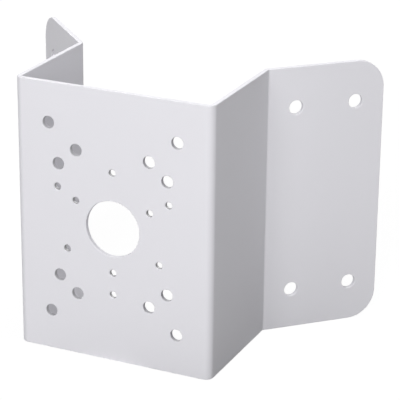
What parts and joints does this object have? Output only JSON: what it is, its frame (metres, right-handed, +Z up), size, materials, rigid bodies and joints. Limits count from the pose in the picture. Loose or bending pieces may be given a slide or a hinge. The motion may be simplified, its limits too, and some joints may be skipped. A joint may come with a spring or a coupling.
{
  "type": "corner mount adapter",
  "caption": "Folded steel bracket for an outside building corner: a flat device plate with a cable hole and screw patterns, webs behind it, and flanges that lie on the walls.",
  "frame": {"origin": "on the bottom edge's level, under the middle of the bracket's width and depth", "axes": "+X across the plate to its right seen from the front, -Y out of the plate's front face, +Z up"},
  "size_m": [0.2352, 0.1346, 0.17],
  "materials": {
    "white_powder_coat": "white powder coat, satin, fine orange peel"
  },
  "bodies": {
    "root": {"corner_bracket": "white_powder_coat"}
  },
  "joints": []
}
